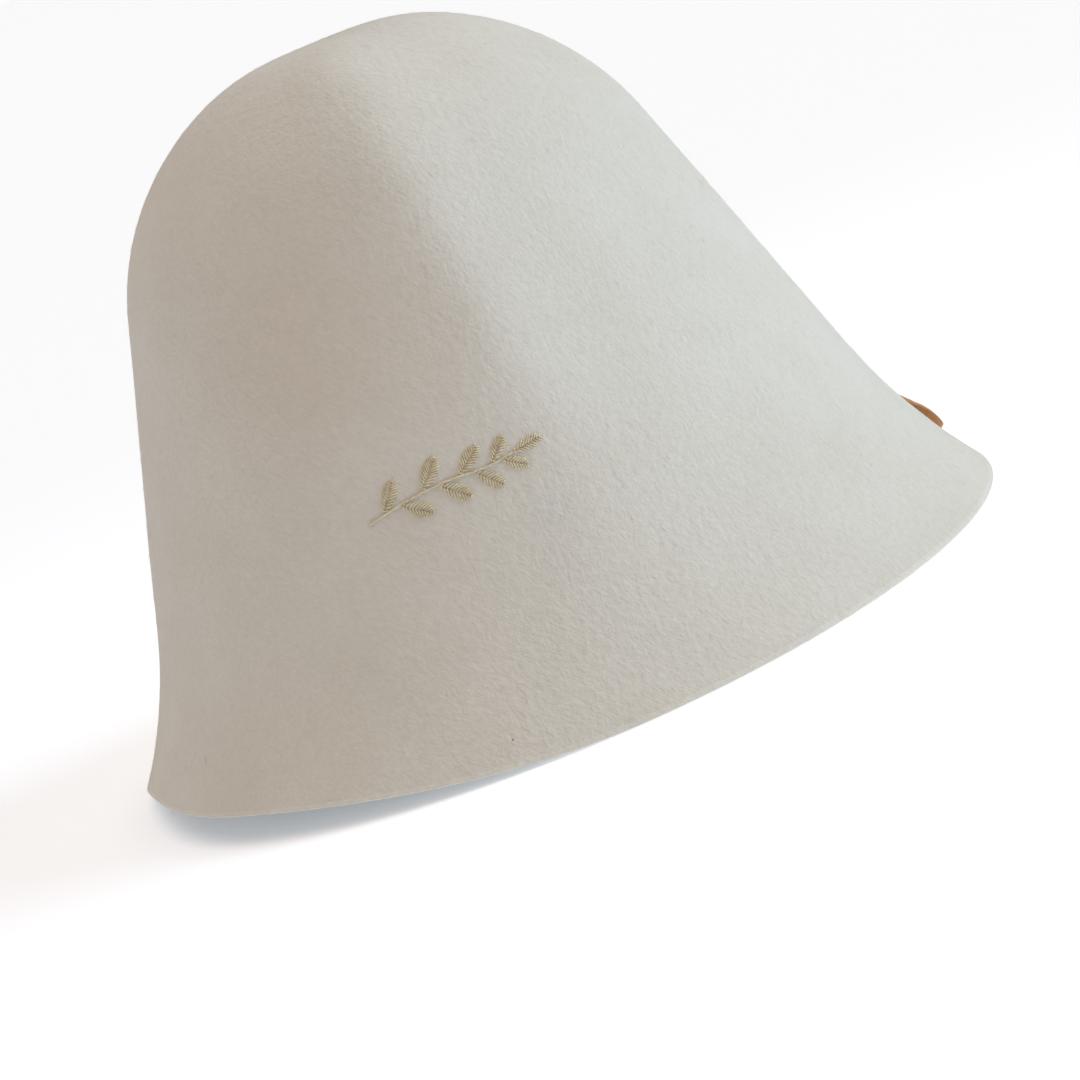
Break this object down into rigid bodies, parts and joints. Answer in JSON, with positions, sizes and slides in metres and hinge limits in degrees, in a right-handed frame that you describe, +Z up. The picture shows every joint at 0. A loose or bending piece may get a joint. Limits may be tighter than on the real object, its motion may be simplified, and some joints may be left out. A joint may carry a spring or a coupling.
{
  "type": "sauna hat",
  "caption": "Bell-shaped sauna hat of thick blocked felt with a flared raw-cut brim, open below for the head, and a flat leather hanging loop low on the side.",
  "frame": {"origin": "middle of the rim, on the surface that the hat stands on", "axes": "+Z up through the crown, -Y towards the front with the soft fold, +X towards the hanging loop"},
  "size_m": [0.2669, 0.2698, 0.1865],
  "materials": {
    "felt": "matte cream wool felt with a fine nap",
    "leather": "tan vegetable-tanned lace with a smooth grain side"
  },
  "bodies": {
    "root": {"felt_bell": "felt", "hang_loop": "leather"}
  },
  "joints": []
}
